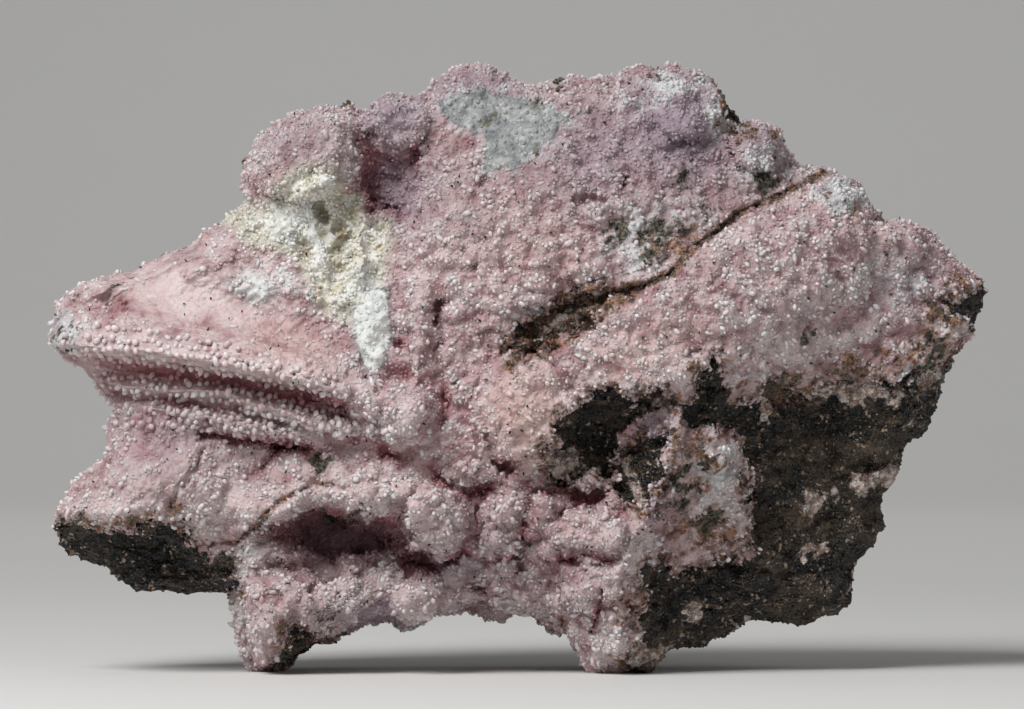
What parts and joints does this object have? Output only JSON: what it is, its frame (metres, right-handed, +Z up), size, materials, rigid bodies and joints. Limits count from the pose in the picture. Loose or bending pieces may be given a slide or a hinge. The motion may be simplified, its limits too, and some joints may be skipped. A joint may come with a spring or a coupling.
{
  "type": "smithsonite specimen",
  "caption": "Loose cabinet specimen of pink druse smithsonite with ribs, lobes and pockets, grown over dark rusty matrix rock, with cream and blue-white patches; stands on its own feet.",
  "frame": {"origin": "on the ground, at the middle of the specimen's bounding box", "axes": "+X is the specimen's right seen from the crust side and its longest extent, -Y is the way the crust faces, +Z is up as it stands"},
  "size_m": [0.1194, 0.0467, 0.0765],
  "materials": {
    "matrix": "rough broken gossan, near black with rust and ochre stains and tiny glinting grains",
    "pink_druse": "pale pink druse of tiny white-tipped rice-shaped crystals, maroon in its hollows, lightly glossy",
    "cream": "nodular cream to white crust with brown stained pockets, matt",
    "blue_white": "translucent blue-white sugary crust, glinting",
    "white": "translucent milky white drip, smooth and waxy"
  },
  "bodies": {
    "root": {"matrix_rock": "matrix", "smithsonite_crust": "pink_druse", "cream_crust": "cream", "blue_white_cap": "blue_white", "white_drip": "white"}
  },
  "joints": []
}
